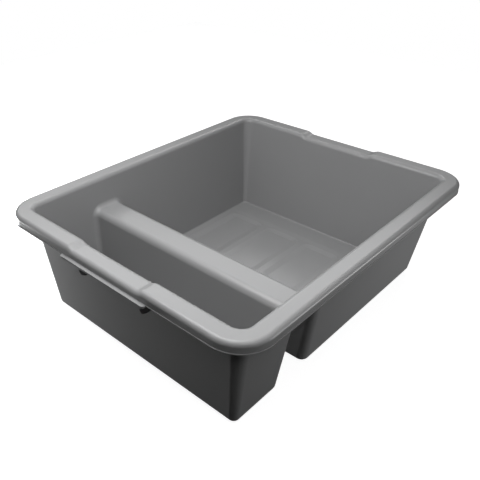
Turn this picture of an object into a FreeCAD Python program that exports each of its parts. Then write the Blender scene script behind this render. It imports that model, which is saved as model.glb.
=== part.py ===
import FreeCAD, Part
import math
import os

# Two-compartment bus tub, moulded in one piece. Millimetres, Z up, X along its length.
# The origin is on the table under the middle of the tub. The small compartment is at -X.

# Overall size, over the skirt of the rim
length = 546.0
width = 439.4
height = 173.0

# Wall and floor; the upright corners' outer radius grows from the base to the top
wall = 2.8
floor_thick = 3.2
draft = 5.9
corner_base = 9.0
corner_top = 18.0
base_fillet = 8.7
floor_fillet = 2.5

# Rim: flat top rolled over into a skirt
end_overhang = 25.6
side_overhang = 23.8
skirt_depth = 15.0
rim_corner = 46.0
rim_shoulder = 6.5
lip_radius = 7.5
bead_height = 1.3
bead_proud = 0.6

# Divider: a hollow wall across the tub, open underneath
divider_centre = -112.5
divider_height = 126.0
divider_width = 47.5
divider_draft = 3.4
divider_shoulder = 11.0
divider_blend = 9.0

# Grip at each end: the rim dips, with a ledge under the skirt and two ribs
grip_length = 114.0
grip_ramp = 15.0
grip_drop = 4.0
ledge_length = 156.0
ledge_proud = 5.0
ledge_thick = 3.0
ledge_lift = 1.0
ledge_corner = 4.0
rib_spacing = 114.0
rib_thick = 3.0
rib_depth = 31.0
rib_setback = 7.0
rib_corner = 12.0

# Floor pans, which stand out below as the feet
pan_depth = 2.2
pan_slope = 11.0
pan_width = 50.0
pan_pitch = 83.2
pan_count = 4
pan_corner = 3.0
step_depth = 0.8
step_slope = 10.0
end_border = 36.0
side_border = 10.0
small_pan_width = 34.0

# Levels worked out from the sizes above
feet_drop = pan_depth + step_depth
base_z = feet_drop
floor_z = feet_drop + floor_thick
skirt_z = height - skirt_depth
over = 1.0


def half_length(z):
    """Half the body's outer length at height z."""
    return length / 2 - end_overhang - (height - z) * math.tan(math.radians(draft))


def half_width(z):
    """Half the body's outer width at height z."""
    return width / 2 - side_overhang - (height - z) * math.tan(math.radians(draft))


def corner_radius(z):
    """Outer radius of the body's upright corners at height z."""
    share = (z - base_z) / (height - base_z)
    return corner_base + share * (corner_top - corner_base)


def divider_half(z):
    """Half the divider's width, over its faces in the compartments, at height z."""
    return divider_width / 2 + (divider_height - z) * math.tan(math.radians(divider_draft))


def turned(angle, distance, centre, z):
    """Point at an angle and distance round a centre, at height z."""
    turn = math.radians(angle)
    return FreeCAD.Vector(centre[0] + distance * math.cos(turn), centre[1] + distance * math.sin(turn), z)


def flat_ring(centres, radius, z):
    """Level face on a rounded rectangle with the given corner centres."""
    outline = []
    for index, centre in enumerate(centres):
        start = index * 90
        beyond = centres[(index + 1) % 4]
        first, middle, last = [turned(start + part, radius, centre, z) for part in (0, 45, 90)]
        outline.append(Part.Arc(first, middle, last).toShape())
        outline.append(Part.LineSegment(last, turned(start + 90, radius, beyond, z)).toShape())
    return Part.Face(Part.Wire(outline))


def corner_wall(centre, start, low, high):
    """Quarter cone round one corner; low and high are each a radius and a height."""
    foot = turned(start, low[0], centre, low[1])
    head = turned(start, high[0], centre, high[1])
    slant = Part.LineSegment(foot, head).toShape()
    pivot = FreeCAD.Vector(centre[0], centre[1], 0)
    return slant.revolve(pivot, FreeCAD.Vector(0, 0, 1), 90)


def side_wall(centre, beyond, angle, low, high):
    """Flat leaning wall between two corners."""
    points = [turned(angle, low[0], centre, low[1]), turned(angle, low[0], beyond, low[1]),
              turned(angle, high[0], beyond, high[1]), turned(angle, high[0], centre, high[1])]
    return Part.Face(Part.makePolygon(points + points[:1]))


def solid_of(faces):
    """Solid inside a closed set of faces."""
    shell = Part.Shell(faces)
    shell.sewShape()
    block = Part.Solid(shell)
    if block.Volume < 0:
        block.reverse()
    return block


def tapered_block(limits, radius, z_low, z_high, spread):
    """Solid on a rounded rectangle whose walls lean out by spread on the way up."""
    x_low, x_high, y_low, y_high = limits
    centres = [(x_high - radius, y_high - radius), (x_low + radius, y_high - radius),
               (x_low + radius, y_low + radius), (x_high - radius, y_low + radius)]
    low = (radius, z_low)
    high = (radius + spread, z_high)
    faces = [flat_ring(centres, *low), flat_ring(centres, *high)]
    for index, centre in enumerate(centres):
        start = index * 90
        faces.append(corner_wall(centre, start, low, high))
        faces.append(side_wall(centre, centres[(index + 1) % 4], start + 90, low, high))
    return solid_of(faces)


def tangent_points(z, inset):
    """Where the round corner at +X +Y meets the end wall and the side wall at height z."""
    x = half_length(z) - inset
    y = half_width(z) - inset
    radius = corner_radius(z) - inset
    return FreeCAD.Vector(x, y - radius, z), FreeCAD.Vector(x - radius, y, z)


def leaning_corner(z_low, z_high, inset):
    """Cone that rounds the body's corner at +X +Y and leans out with both walls."""
    end_foot, side_foot = tangent_points(z_low, inset)
    end_head, side_head = tangent_points(z_high, inset)
    end_rise = end_head - end_foot
    side_rise = side_head - side_foot
    lean = math.radians(draft)
    end_normal = FreeCAD.Vector(math.cos(lean), 0, -math.sin(lean))
    side_normal = FreeCAD.Vector(0, math.cos(lean), -math.sin(lean))
    axis = end_rise.cross(end_normal).cross(side_rise.cross(side_normal)).normalize()
    if axis.z < 0:
        axis = -axis
    low, high = corner_radius(z_low) - inset, corner_radius(z_high) - inset
    apex = end_foot - end_rise * (low / (high - low))
    end_spoke = end_rise - axis * end_rise.dot(axis)
    side_spoke = side_rise - axis * side_rise.dot(axis)
    angle = math.degrees(end_spoke.getAngle(side_spoke))
    spare = end_rise * 0.1
    slant = Part.LineSegment(end_foot - spare, end_head + spare).toShape()
    slab = Part.makeBox(length, width, z_high - z_low, FreeCAD.Vector(0, 0, z_low))
    return slant.revolve(apex, axis, angle).common(slab).Faces[0]


def mirrored_round(thing):
    """The thing at +X +Y and its three mirror images, anticlockwise."""
    middle = FreeCAD.Vector(0, 0, 0)
    x_way, y_way = FreeCAD.Vector(1, 0, 0), FreeCAD.Vector(0, 1, 0)
    left = thing.mirror(middle, x_way)
    return [thing, left, left.mirror(middle, y_way), thing.mirror(middle, y_way)]


def level_edge(face, z):
    """The face's edge that lies at height z."""
    return [edge for edge in face.Edges if all(abs(v.Z - z) < 0.001 for v in edge.Vertexes)][0]


def body_block(z_low, z_high, inset):
    """Tapered body, or with an inset the room inside it."""
    corners = mirrored_round(leaning_corner(z_low, z_high, inset))
    rails = []
    for z in (z_low, z_high):
        end, side = tangent_points(z, inset)
        signs = ((1, 1), (-1, 1), (-1, -1), (1, -1))
        loop = []
        for index, (x_sign, y_sign) in enumerate(signs):
            pair = [FreeCAD.Vector(p.x * x_sign, p.y * y_sign, z) for p in (end, side)]
            loop += pair if index % 2 == 0 else pair[::-1]
        rails.append(loop)
    faces = list(corners)
    for index in (1, 3, 5, 7):
        beyond = (index + 1) % 8
        points = [rails[0][index], rails[0][beyond], rails[1][beyond], rails[1][index]]
        faces.append(Part.Face(Part.makePolygon(points + points[:1])))
    for z, loop in zip((z_low, z_high), rails):
        edges = [level_edge(corner, z) for corner in corners]
        edges += [Part.LineSegment(loop[i], loop[(i + 1) % 8]).toShape() for i in (1, 3, 5, 7)]
        faces.append(Part.Face(Part.Wire(Part.__sortEdges__(edges))))
    return solid_of(faces)


def edges_where(shape, test):
    """Edges whose middle point passes the test."""
    chosen = []
    for edge in shape.Edges:
        middle = edge.valueAt((edge.FirstParameter + edge.LastParameter) / 2)
        if test(middle, edge):
            chosen.append(edge)
    return chosen


def divider_prism(inset, z_low):
    """Divider's section run right across the tub; inset takes it to the hollow inside."""
    top = divider_height - inset
    reach = width
    half_top = divider_half(top) - inset
    half_low = divider_half(z_low) - inset
    section = [(-half_low, z_low), (half_low, z_low), (half_top, top), (-half_top, top)]
    points = [FreeCAD.Vector(divider_centre + x, -reach, z) for x, z in section]
    face = Part.Face(Part.makePolygon(points + points[:1]))
    prism = face.extrude(FreeCAD.Vector(0, 2 * reach, 0))
    shoulders = edges_where(prism, lambda m, e: abs(m.z - top) < 0.01 and abs(m.y) < 1)
    return prism.makeFillet(divider_shoulder - inset, shoulders)


def on_divider_joint(middle, inset):
    """Whether a point is where the divider runs into a long side."""
    on_side = abs(abs(middle.y) - (half_width(middle.z) - inset)) < 0.05
    reach = divider_half(middle.z) + wall
    return on_side and abs(middle.x - divider_centre) < reach


def outer_body():
    """Outside of the two compartments, with the open channel between them."""
    body = body_block(base_z, height - wall / 2, 0)
    body = body.cut(divider_prism(wall, -over))
    joints = edges_where(body, lambda m, e: on_divider_joint(m, 0) and m.z > base_z + over)
    body = body.makeFillet(divider_blend + wall, joints)
    bottom = edges_where(body, lambda m, e: abs(m.z - base_z) < 0.01)
    return body.makeFillet(base_fillet, bottom)


def compartments():
    """Room inside: both compartments and the space above the divider."""
    room = body_block(floor_z, height + over, wall)
    room = room.cut(divider_prism(0, floor_z - over))
    joints = edges_where(room, lambda m, e: on_divider_joint(m, wall) and m.z > floor_z + over)
    room = room.makeFillet(divider_blend, joints)
    bottom = edges_where(room, lambda m, e: abs(m.z - floor_z) < 0.01)
    return room.makeFillet(floor_fillet, bottom)


def grip_cutter(side, drop_from):
    """Block whose underside is the dipped line of the rim at one end."""
    half = grip_length / 2
    ramp = grip_ramp
    level = drop_from
    low = level - grip_drop
    middle = (level + low) / 2
    lift = 4 * skirt_depth
    point = FreeCAD.Vector
    turn = math.atan2(grip_drop / 2, ramp / 2)
    radius = (ramp / 2) / math.sin(2 * turn)
    sag = radius * (1 - math.cos(turn))
    run = radius * math.sin(turn)
    edges = []
    for way in (1, -1):
        outer = point(0, way * (half + ramp), level)
        upper = point(0, way * (half + ramp - run), level - sag)
        centre = point(0, way * (half + ramp / 2), middle)
        lower = point(0, way * (half + run), low + sag)
        inner = point(0, way * half, low)
        edges.append(Part.Arc(outer, upper, centre).toShape())
        edges.append(Part.Arc(centre, lower, inner).toShape())
    left = point(0, -half, low)
    right = point(0, half, low)
    far_left = point(0, -(half + ramp), level)
    far_right = point(0, half + ramp, level)
    up = point(0, 0, lift)
    edges.append(Part.LineSegment(left, right).toShape())
    edges.append(Part.LineSegment(far_right, far_right + up).toShape())
    edges.append(Part.LineSegment(far_right + up, far_left + up).toShape())
    edges.append(Part.LineSegment(far_left + up, far_left).toShape())
    outline = Part.Wire(Part.__sortEdges__(edges))
    start = half_length(height) - wall - 2 * lip_radius
    face = Part.Face(outline)
    face.translate(point(side * start, 0, 0))
    return face.extrude(point(side * length, 0, 0))


def rim_prism(inset, z_low, z_high):
    """Upright block on the rim's outline, moved in by inset."""
    half_x = length / 2 - inset
    half_y = width / 2 - inset
    return tapered_block((-half_x, half_x, -half_y, half_y), rim_corner - inset, z_low, z_high, 0)


def outline_gap(middle, inset):
    """Distance of a point from the rim's outline, seen from above."""
    half_x = length / 2 - inset
    half_y = width / 2 - inset
    radius = rim_corner - inset
    past_x = max(abs(middle.x) - (half_x - radius), 0)
    past_y = max(abs(middle.y) - (half_y - radius), 0)
    return abs(math.hypot(past_x, past_y) - radius)


def rim_block():
    """Solid rim with a small bead round the skirt's lower edge."""
    return rim_prism(0, skirt_z, height).fuse(rim_prism(-bead_proud, skirt_z, skirt_z + bead_height))


def rim_groove():
    """Hollow under the rim, between the skirt and the body, with a bevel inside the shoulder."""
    top = height - wall
    groove = rim_prism(wall, skirt_z - over, top)
    for side in (1, -1):
        groove = groove.cut(grip_cutter(side, top))
    groove = groove.cut(body_block(base_z, height, 0))
    lowest = top - grip_drop - 0.01
    outer = edges_where(groove, lambda m, e: m.z > lowest and outline_gap(m, wall) < 0.01)
    return groove.makeChamfer(rim_shoulder - wall, outer)


def upper_lip_edges(shape):
    """Edge where the rim's top turns down into the compartments."""
    lowest = height - grip_drop - 0.01

    def test(middle, edge):
        far_x = abs(abs(middle.x) - (half_length(middle.z) - wall)) < 0.05
        far_y = abs(abs(middle.y) - (half_width(middle.z) - wall)) < 0.05
        radius = corner_radius(middle.z) - wall
        corner_x = half_length(middle.z) - wall - radius
        corner_y = half_width(middle.z) - wall - radius
        reach = math.hypot(abs(middle.x) - corner_x, abs(middle.y) - corner_y)
        in_corner = abs(middle.x) > corner_x and abs(middle.y) > corner_y
        return middle.z > lowest and (far_x or far_y or (in_corner and abs(reach - radius) < 0.05))

    return edges_where(shape, test)


def ledge(side):
    """Thin shelf that stands out under the skirt at one grip."""
    low = skirt_z + ledge_lift - ledge_thick
    near = length / 2 - wall
    far = length / 2 + ledge_proud
    half = ledge_length / 2
    limits = (near - ledge_corner, far, -half, half)
    plate = tapered_block(limits, ledge_corner, low, low + ledge_thick, 0)
    keep = Part.makeBox(far, ledge_length, ledge_thick, FreeCAD.Vector(near, -half, low))
    plate = plate.common(keep)
    if side < 0:
        plate.rotate(FreeCAD.Vector(0, 0, 0), FreeCAD.Vector(0, 0, 1), 180)
    return plate


def rib(side, way):
    """Upright web from the end wall out under the rim."""
    low = skirt_z - rib_depth
    top = height - grip_drop - wall / 2
    out = length / 2 - rib_setback
    root_low = half_length(low) - wall / 2
    root_top = half_length(top) - wall / 2
    knee = rib_corner * (1 - math.sqrt(0.5))
    inner_skirt = length / 2 - wall / 2
    shelf = skirt_z + ledge_lift
    point = FreeCAD.Vector
    y = way * rib_spacing / 2 - rib_thick / 2
    run = [point(root_top, y, top), point(root_low, y, low), point(out - rib_corner, y, low)]
    bend = Part.Arc(run[2], point(out - knee, y, low + knee), point(out, y, low + rib_corner))
    rise = [point(out, y, low + rib_corner), point(out, y, shelf), point(inner_skirt, y, shelf),
            point(inner_skirt, y, top - rim_shoulder / 2), point(inner_skirt - rim_shoulder / 2, y, top),
            point(root_top, y, top)]
    edges = [Part.LineSegment(a, b).toShape() for a, b in zip(run, run[1:])]
    edges.append(bend.toShape())
    edges += [Part.LineSegment(a, b).toShape() for a, b in zip(rise, rise[1:])]
    plate = Part.Face(Part.Wire(edges)).extrude(point(0, rib_thick, 0))
    if side < 0:
        plate.rotate(point(0, 0, 0), point(0, 0, 1), 180)
    return plate


def basin(limits, slope, depth, z_top):
    """Shallow tapered recess; its outline is given at z_top and it narrows by slope."""
    x_low, x_high, y_low, y_high = limits
    floor = (x_low + slope, x_high - slope, y_low + slope, y_high - slope)
    spread = slope * (depth + over) / depth
    return tapered_block(floor, pan_corner, z_top - depth, z_top + over, spread)


def floor_basins(shift):
    """Stepped middle of the floor and its pans, all moved down by shift."""
    main_low = divider_centre + divider_half(floor_z) + end_border
    main_high = half_length(floor_z) - wall - end_border
    side = half_width(floor_z) - wall - side_border
    step = basin((main_low, main_high, -side, side), step_slope, step_depth, floor_z - shift)
    pan_top = floor_z - step_depth - shift
    half = pan_width / 2 + pan_slope
    inset = step_slope + over
    basins = [step]
    for index in range(pan_count):
        middle = (index - (pan_count - 1) / 2) * pan_pitch
        limits = (main_low + inset, main_high - inset, middle - half, middle + half)
        basins.append(basin(limits, pan_slope, pan_depth, pan_top))
    small_low = -half_length(floor_z) + wall
    small_high = divider_centre - divider_half(floor_z)
    small_middle = (small_low + small_high) / 2
    small_half = small_pan_width / 2 + pan_slope
    reach = (pan_count - 1) / 2 * pan_pitch + half
    limits = (small_middle - small_half, small_middle + small_half, -reach, reach)
    basins.append(basin(limits, pan_slope, feet_drop, floor_z - shift))
    return basins


def tub():
    """The whole moulding."""
    body = outer_body().fuse(rim_block())
    for side in (1, -1):
        body = body.cut(grip_cutter(side, height))
    lowest = height - grip_drop - 0.01
    shoulder = edges_where(body, lambda m, e: m.z > lowest and outline_gap(m, 0) < 0.01)
    body = body.makeFillet(rim_shoulder, shoulder)
    body = body.cut(compartments())
    body = body.makeFillet(lip_radius, upper_lip_edges(body))
    body = body.cut(rim_groove())
    floor_room = body_block(base_z - feet_drop - over, floor_z - floor_thick + over, base_fillet)
    for foot in floor_basins(floor_thick)[1:]:
        body = body.fuse(foot.common(floor_room))
    for pan in floor_basins(0):
        body = body.cut(pan)
    for side in (1, -1):
        body = body.fuse(ledge(side))
        for way in (1, -1):
            body = body.fuse(rib(side, way))
    return body.removeSplitter()


os.makedirs("parts", exist_ok=True)
shape = tub()
print("solids", len(shape.Solids), "valid", shape.isValid(), "volume cm3", round(shape.Volume / 1000, 1))
print("box", shape.BoundBox)
shape.exportStep("parts/tub.step")
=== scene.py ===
import bpy
import bmesh
import math
from mathutils import Matrix, Vector


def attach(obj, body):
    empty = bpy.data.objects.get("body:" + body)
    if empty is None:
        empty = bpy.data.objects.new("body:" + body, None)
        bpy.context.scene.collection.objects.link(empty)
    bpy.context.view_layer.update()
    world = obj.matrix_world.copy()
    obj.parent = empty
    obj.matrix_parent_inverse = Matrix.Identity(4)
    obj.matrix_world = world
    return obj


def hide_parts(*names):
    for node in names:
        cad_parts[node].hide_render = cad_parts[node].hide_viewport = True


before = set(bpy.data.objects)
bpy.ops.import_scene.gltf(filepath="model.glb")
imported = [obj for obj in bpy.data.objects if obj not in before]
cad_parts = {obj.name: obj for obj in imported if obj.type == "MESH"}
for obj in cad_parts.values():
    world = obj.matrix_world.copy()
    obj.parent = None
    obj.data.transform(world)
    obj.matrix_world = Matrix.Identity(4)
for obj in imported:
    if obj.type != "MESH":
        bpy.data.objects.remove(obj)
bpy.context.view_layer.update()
print("frame loaded")

# metres, Z up, X along the tub, small compartment at -X
tubShape = {
    "mergeGap": 0.000002,      # loose triangles of the solid are joined below this
    "flatAngle": 0.05,         # degrees, triangles this flat become one face
    "smoothAngle": 38,         # degrees, sharper edges stay crisp
    "flatWeight": 80,          # how firmly large faces keep their own direction
}

# the moulded floor: a wide shallow step, with pans sunk in it
floorShape = {
    "top": 0.0062,             # border of the inside floor
    "thick": 0.0032,
    "pick": 0.0085,            # everything level below this is floor
    "level": 0.97,             # upward share of a level face's direction
    "turn": 0.0006,            # length of the soft turn at the top and foot of a slope
    "cuts": 6,                 # strips across each slope
    "step": {
        "x": (-0.03563, 0.18136), "y": (-0.15586, 0.15586),
        "drop": 0.0008, "slope": 0.010, "corner": 0.003,
    },
    "pan": {
        "x": (-0.02363, 0.16936), "halfWidth": 0.025, "pitch": 0.0832, "count": 4,
        "drop": 0.0022, "slope": 0.011, "corner": 0.003,
    },
    "smallPan": {
        "x": (-0.20237, -0.16837), "y": (-0.1498, 0.1498),
        "drop": 0.0030, "slope": 0.011, "corner": 0.003,
    },
}

tubLook = {
    "grey": (0.255, 0.256, 0.258),
    "greyDark": (0.243, 0.244, 0.247),
    "cloudSize": 9.0,          # slow flow marks, per metre
    "cloudDetail": 3.0,
    "roughLow": 0.33,
    "roughHigh": 0.37,
    "grainSize": 1500.0,       # fine spark grain, per metre
    "grainDepth": 0.00001,
    "fineDetail": 2.0,         # of grain and ripple
    "rippleSize": 14.0,        # slight unevenness of the cooled walls
    "rippleDepth": 0.00010,
    "speckSize": 260.0,        # tiny dark specks
    "speckReach": 0.10,
    "speckRare": 0.985,        # cells below this have none
    "speckDark": 0.35,
    "speckGrey": 0.02,
    "refraction": 1.5,
    "pinMark": {
        "at": (0.206, 0.084), "radius": 0.0045, "width": 0.0007,
        "depth": 0.00006, "below": 0.008,
    },
}

stageLook = {
    "size": 3.0,
    "bounce": (0.05, 0.05, 0.05),   # floor as the tub sees it
    "white": (1.54, 1.54, 1.54),    # glow of the floor as the camera sees it
    "paper": (0.9, 0.9, 0.9),       # its part that takes the shadow
    "shadowShare": 0.40,            # how much of that part shows in the picture
    "air": 0.0,                     # light from the surroundings
    "backdrop": 1.0,                # surroundings as the camera sees them
}

photoView = {
    "centreX": 187.44,         # picture's own centre of view, in pixels from the top left
    "centreY": 266.50,
    "focalPixels": 560.93,
    "picture": 480,
    "sensor": 36.0,
    "azimuth": -46.001,
    "elevation": 34.377,
    "roll": -0.398,
    "distance": 0.859631,
    "aim": (-0.083388, 0.040, 0.062082),
    "clip": (0.01, 50),
}

# soft boxes round a point in the tub, and two strips close to the floor that stand in for a pale table
# turn 0 is straight behind the tub as the camera sees it, 90 to its right
# turn and rise in degrees, far and size in metres, power in watts
lampMiddle = Vector((0, 0, 0.1))
lamps = {
    "behindLow": {"turn": 0, "rise": 38, "far": 2.0, "size": (2.4, 0.35), "power": 12.8},
    "behindHigh": {"turn": 0, "rise": 64, "far": 2.0, "size": (2.4, 0.35), "power": 5.8},
    "floorLeft": {"turn": 300, "rise": -7, "far": 0.65, "size": (0.5, 0.04), "power": 15.0},
    "floorRight": {"turn": 110, "rise": -7, "far": 0.65, "size": (0.5, 0.04), "power": 1.2},
    "frontRight": {"turn": 150, "rise": 45, "far": 0.95, "size": (0.4, 0.4), "power": 0.35},
    "front": {"turn": 180, "rise": 50, "far": 0.6, "size": (0.45, 0.45), "power": 1.05},
    "left": {"turn": 280, "rise": 50, "far": 0.6, "size": (0.45, 0.45), "power": 0.45},
    "overFront": {"turn": 225, "rise": 70, "far": 0.6, "size": (0.45, 0.45), "power": 3.35},
}


def selectOnly(obj):
    # operators act on all that is selected
    for other in bpy.context.selected_objects:
        other.select_set(False)
    obj.select_set(True)
    bpy.context.view_layer.objects.active = obj


def copyOfNode(node, name):
    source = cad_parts[node]
    obj = source.copy()
    obj.data = source.data.copy()
    obj.name = name
    obj.data.name = name
    obj.parent = None
    for key in list(obj.keys()):
        del obj[key]
    bpy.context.scene.collection.objects.link(obj)
    selectOnly(obj)
    return obj


def joinTriangles(obj, shape):
    # loose triangles become a closed skin with flat faces in one piece
    bpy.ops.object.mode_set(mode="EDIT")
    bpy.ops.mesh.select_all(action="SELECT")
    bpy.ops.mesh.remove_doubles(threshold=shape["mergeGap"])
    bpy.ops.mesh.dissolve_limited(angle_limit=math.radians(shape["flatAngle"]))
    bpy.ops.object.mode_set(mode="OBJECT")


def slopeShare(distance, slope, turn):
    # 0 on the pan's bottom, 1 past the top of its slope, with soft turns at both
    def ramp(x):
        # straight climb that starts with a rounded turn
        if x <= -turn:
            return 0.0
        if x >= turn:
            return x
        return (x + turn) ** 2 / (4 * turn)

    return (ramp(distance) - ramp(distance - slope)) / slope


def outsideBy(x, y, xRange, yRange, corner):
    # how far a place lies outside a rectangle with rounded corners, less than zero inside it
    pastX = max(xRange[0] + corner - x, x - xRange[1] + corner)
    pastY = max(yRange[0] + corner - y, y - yRange[1] + corner)
    if pastX > 0 and pastY > 0:
        return math.hypot(pastX, pastY) - corner
    return max(pastX, pastY) - corner


def allBasins(shape):
    # every sunk area as its x range, y range and values
    pan, small, step = shape["pan"], shape["smallPan"], shape["step"]
    basins = [(step["x"], step["y"], step), (small["x"], small["y"], small)]
    for index in range(pan["count"]):
        middle = (index - (pan["count"] - 1) / 2) * pan["pitch"]
        basins.append((pan["x"], (middle - pan["halfWidth"], middle + pan["halfWidth"]), pan))
    return basins


def floorDrop(x, y, basins, turn):
    drop = 0.0
    for xRange, yRange, basin in basins:
        outside = outsideBy(x, y, xRange, yRange, basin["corner"])
        drop += basin["drop"] * (1 - slopeShare(outside, basin["slope"], turn))
    return drop


def cutPlaces(basins, axis, shape):
    # evenly spaced planes across every slope and its turns
    places = set()
    for basin in basins:
        slope = basin[2]["slope"]
        for side, edge in zip((-1, 1), basin[axis]):
            for step in range(shape["cuts"] + 1):
                reach = -shape["turn"] + step * (slope + 2 * shape["turn"]) / shape["cuts"]
                places.add(round(edge + side * reach, 6))
    return sorted(places)


def softenFloor(obj, shape):
    # cuts the floor across its slopes, then lays it on smooth pans, inside and underneath
    basins = allBasins(shape)
    bpy.ops.object.mode_set(mode="EDIT")
    bpy.ops.mesh.select_mode(type="FACE")
    cuts = [((x, 0, 0), (1, 0, 0)) for x in cutPlaces(basins, 0, shape)]
    cuts += [((0, y, 0), (0, 1, 0)) for y in cutPlaces(basins, 1, shape)]
    for place, normal in cuts:
        pickFloor(obj, shape)
        bpy.ops.mesh.bisect(plane_co=place, plane_no=normal)
    mesh = bmesh.from_edit_mesh(obj.data)
    moved = 0
    for vert in mesh.verts:
        faces = vert.link_faces
        if faces and all(isFloor(face, shape) for face in faces):
            top = shape["top"] if faces[0].normal.z > 0 else shape["top"] - shape["thick"]
            vert.co.z = max(0.0, top - floorDrop(vert.co.x, vert.co.y, basins, shape["turn"]))
            moved += 1
    bmesh.update_edit_mesh(obj.data)
    bpy.ops.object.mode_set(mode="OBJECT")
    print("floor softened:", moved, "points")


def isFloor(face, shape):
    return abs(face.normal.z) > shape["level"] and max(v.co.z for v in face.verts) < shape["pick"]


def pickFloor(obj, shape):
    bpy.ops.mesh.select_all(action="DESELECT")
    mesh = bmesh.from_edit_mesh(obj.data)
    for face in mesh.faces:
        if isFloor(face, shape):
            face.select_set(True)
    bmesh.update_edit_mesh(obj.data)


def smoothTub(obj, shape):
    selectOnly(obj)
    bpy.ops.object.shade_smooth_by_angle(angle=math.radians(shape["smoothAngle"]))
    weighted = obj.modifiers.new("flatStaysFlat", "WEIGHTED_NORMAL")
    weighted.keep_sharp = True
    weighted.weight = shape["flatWeight"]
    bpy.ops.object.modifier_apply(modifier=weighted.name)


class Maths:
    # a socket that can be added, multiplied and so on in plain expressions
    def __init__(self, tree, socket):
        self.tree = tree
        self.socket = socket

    def run(self, operation, first, second=None):
        node = self.tree.nodes.new("ShaderNodeMath")
        node.operation = operation
        for place, value in enumerate((first, second)):
            if isinstance(value, Maths):
                self.tree.links.new(value.socket, node.inputs[place])
            elif value is not None:
                node.inputs[place].default_value = value
        return Maths(self.tree, node.outputs[0])

    def __add__(self, other):
        return self.run("ADD", self, other)

    def __sub__(self, other):
        return self.run("SUBTRACT", self, other)

    def __mul__(self, other):
        return self.run("MULTIPLY", self, other)

    def __abs__(self):
        return self.run("ABSOLUTE", self)

    def __pow__(self, other):
        return self.run("POWER", self, other)

    def __gt__(self, other):
        return self.run("GREATER_THAN", self, other)

    def __lt__(self, other):
        return self.run("LESS_THAN", self, other)


class Material:
    def __init__(self, name):
        self.material = bpy.data.materials.new(name)
        self.material.use_nodes = True
        self.tree = self.material.node_tree
        self.tree.nodes.clear()

    def add(self, kind, settings=None, **sockets):
        # settings, then values or links for the sockets by name, or _ and a number where names repeat
        node = self.tree.nodes.new(kind)
        for name, value in (settings or {}).items():
            setattr(node, name, value)
        for name, value in sockets.items():
            numbered = name[0] == "_"
            socket = node.inputs[int(name[1:]) if numbered else name.replace("_", " ")]
            if isinstance(value, Maths):
                self.tree.links.new(value.socket, socket)
            elif isinstance(value, bpy.types.NodeSocket):
                self.tree.links.new(value, socket)
            else:
                socket.default_value = value
        return node

    def maths(self, socket):
        return Maths(self.tree, socket)


def pinRing(made, place, mark):
    # faint ring that an ejector pin leaves on the floor
    axes = made.add("ShaderNodeSeparateXYZ", Vector=place)
    x, y, z = [made.maths(axes.outputs[name]) for name in ("X", "Y", "Z")]
    away = ((x - mark["at"][0]) ** 2 + (y - mark["at"][1]) ** 2) ** 0.5
    return (abs(away - mark["radius"]) < mark["width"]) * (z < mark["below"]) * mark["depth"]


def tubPlastic(look):
    made = Material("tubPlastic")
    place = made.add("ShaderNodeTexCoord").outputs["Object"]

    broad, fine = look["cloudDetail"], look["fineDetail"]
    cloud = made.add("ShaderNodeTexNoise", Vector=place, Scale=look["cloudSize"], Detail=broad)
    grain = made.add("ShaderNodeTexNoise", Vector=place, Scale=look["grainSize"], Detail=fine)
    ripple = made.add("ShaderNodeTexNoise", Vector=place, Scale=look["rippleSize"], Detail=fine)
    specks = made.add("ShaderNodeTexVoronoi", Vector=place, Scale=look["speckSize"])
    chance = made.maths(made.add("ShaderNodeSeparateColor", Color=specks.outputs["Color"]).outputs[0])

    tone = made.add("ShaderNodeMix", {"data_type": "RGBA"}, _0=cloud.outputs[0],
                    _6=(*look["greyDark"], 1), _7=(*look["grey"], 1))

    near = made.maths(specks.outputs["Distance"]) < look["speckReach"]
    speck = near * (chance > look["speckRare"]) * look["speckDark"]
    dark = look["speckGrey"]
    dotted = made.add("ShaderNodeMix", {"data_type": "RGBA"}, _0=speck, _6=tone.outputs[2],
                      _7=(dark, dark, dark, 1))

    spread = look["roughHigh"] - look["roughLow"]
    rough = made.maths(cloud.outputs[0]) * spread + look["roughLow"]

    height = made.maths(grain.outputs[0]) * look["grainDepth"]
    height = height + made.maths(ripple.outputs[0]) * look["rippleDepth"]
    height = height + pinRing(made, place, look["pinMark"])
    bump = made.add("ShaderNodeBump", Height=height, Strength=1.0, Distance=1.0)

    shader = made.add("ShaderNodeBsdfPrincipled", Base_Color=dotted.outputs[2], Roughness=rough,
                      Normal=bump.outputs[0], IOR=look["refraction"])
    made.add("ShaderNodeOutputMaterial", Surface=shader.outputs[0])
    return made.material


def makeTub(shape, floor, look):
    obj = copyOfNode("tub", "tubMoulding")
    joinTriangles(obj, shape)
    softenFloor(obj, floor)
    smoothTub(obj, shape)
    obj.data.materials.clear()
    obj.data.materials.append(tubPlastic(look))
    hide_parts("tub")
    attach(obj, "root")
    print("tub made,", len(obj.data.polygons), "faces")


def floorSurface(look):
    # the camera sees a white floor that still takes the tub's shadow
    made = Material("paleFloor")
    rays = made.add("ShaderNodeLightPath")
    real = made.add("ShaderNodeBsdfDiffuse", Color=(*look["bounce"], 1))
    paper = made.add("ShaderNodeBsdfDiffuse", Color=(*look["paper"], 1))
    glow = made.add("ShaderNodeEmission", Color=(*look["white"], 1), Strength=1.0)
    seen = made.add("ShaderNodeMixShader", _0=1 - look["shadowShare"], _1=paper.outputs[0],
                    _2=glow.outputs[0])
    mix = made.add("ShaderNodeMixShader", _0=rays.outputs["Is Camera Ray"], _1=real.outputs[0],
                   _2=seen.outputs[0])
    made.add("ShaderNodeOutputMaterial", Surface=mix.outputs[0])
    return made.material


def makeFloor(look):
    bpy.ops.mesh.primitive_plane_add(size=look["size"], location=(0, 0, 0))
    floor = bpy.context.object
    floor.name = "floor"
    floor.data.materials.append(floorSurface(look))
    print("floor laid")


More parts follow.
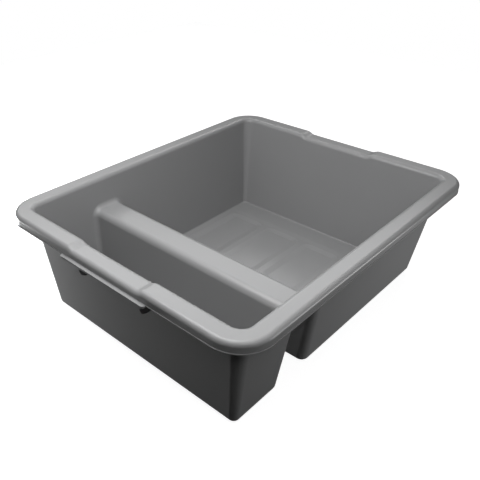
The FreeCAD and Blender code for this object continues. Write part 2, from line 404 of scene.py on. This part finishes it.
def makeWorld(look):
    # white for the camera only
    world = bpy.data.worlds.new("studio")
    bpy.context.scene.world = world
    world.use_nodes = True
    tree = world.node_tree
    tree.nodes.clear()
    rays = tree.nodes.new("ShaderNodeLightPath")
    mix = tree.nodes.new("ShaderNodeMixShader")
    out = tree.nodes.new("ShaderNodeOutputWorld")
    for place, strength in ((1, look["air"]), (2, look["backdrop"])):
        background = tree.nodes.new("ShaderNodeBackground")
        background.inputs[0].default_value = (1, 1, 1, 1)
        background.inputs[1].default_value = strength
        tree.links.new(background.outputs[0], mix.inputs[place])
    tree.links.new(rays.outputs["Is Camera Ray"], mix.inputs[0])
    tree.links.new(mix.outputs[0], out.inputs[0])


def lampPlace(values, middle, view):
    # turn is counted from the camera's own direction
    bearing = math.radians(values["turn"] - view["azimuth"])
    rise = math.radians(values["rise"])
    level = math.cos(rise)
    way = Vector((math.sin(bearing) * level, math.cos(bearing) * level, math.sin(rise)))
    return middle + way * values["far"]


def makeLamps(table, middle, view):
    for name, values in table.items():
        light = bpy.data.lights.new(name, "AREA")
        light.shape = "RECTANGLE"
        light.size, light.size_y = values["size"]
        light.energy = values["power"]
        lamp = bpy.data.objects.new(name, light)
        lamp.location = lampPlace(values, middle, view)
        lamp.visible_camera = False
        lamp.rotation_mode = "QUATERNION"
        lamp.rotation_quaternion = (middle - lamp.location).to_track_quat("-Z", "Y")
        bpy.context.scene.collection.objects.link(lamp)
    print("lamps set:", len(table))


def makeCamera(view):
    turn, rise, roll = [math.radians(view[key]) for key in ("azimuth", "elevation", "roll")]
    back = Vector((math.sin(turn) * math.cos(rise), -math.cos(turn) * math.cos(rise), math.sin(rise)))
    right = (-back).cross(Vector((0, 0, 1))).normalized()
    up = right.cross(-back)
    tilted = right * math.cos(roll) + up * math.sin(roll)
    upright = up * math.cos(roll) - right * math.sin(roll)
    place = Vector(view["aim"]) + back * view["distance"]
    data = bpy.data.cameras.new("photoCamera")
    data.sensor_width = view["sensor"]
    data.lens = view["focalPixels"] * view["sensor"] / view["picture"]
    data.shift_x = (view["picture"] / 2 - view["centreX"]) / view["picture"]
    data.shift_y = (view["centreY"] - view["picture"] / 2) / view["picture"]
    data.clip_start, data.clip_end = view["clip"]
    camera = bpy.data.objects.new("photoCamera", data)
    turned = Matrix((tilted, upright, back)).transposed().to_4x4()
    camera.matrix_world = Matrix.Translation(place) @ turned
    bpy.context.scene.collection.objects.link(camera)
    bpy.context.scene.camera = camera
    print("camera placed")


def saveSizes():
    print("scene ready")


makeTub(tubShape, floorShape, tubLook)
makeFloor(stageLook)
makeWorld(stageLook)
makeLamps(lamps, lampMiddle, photoView)
makeCamera(photoView)
bpy.context.scene.view_settings.view_transform = "Standard"
saveSizes()
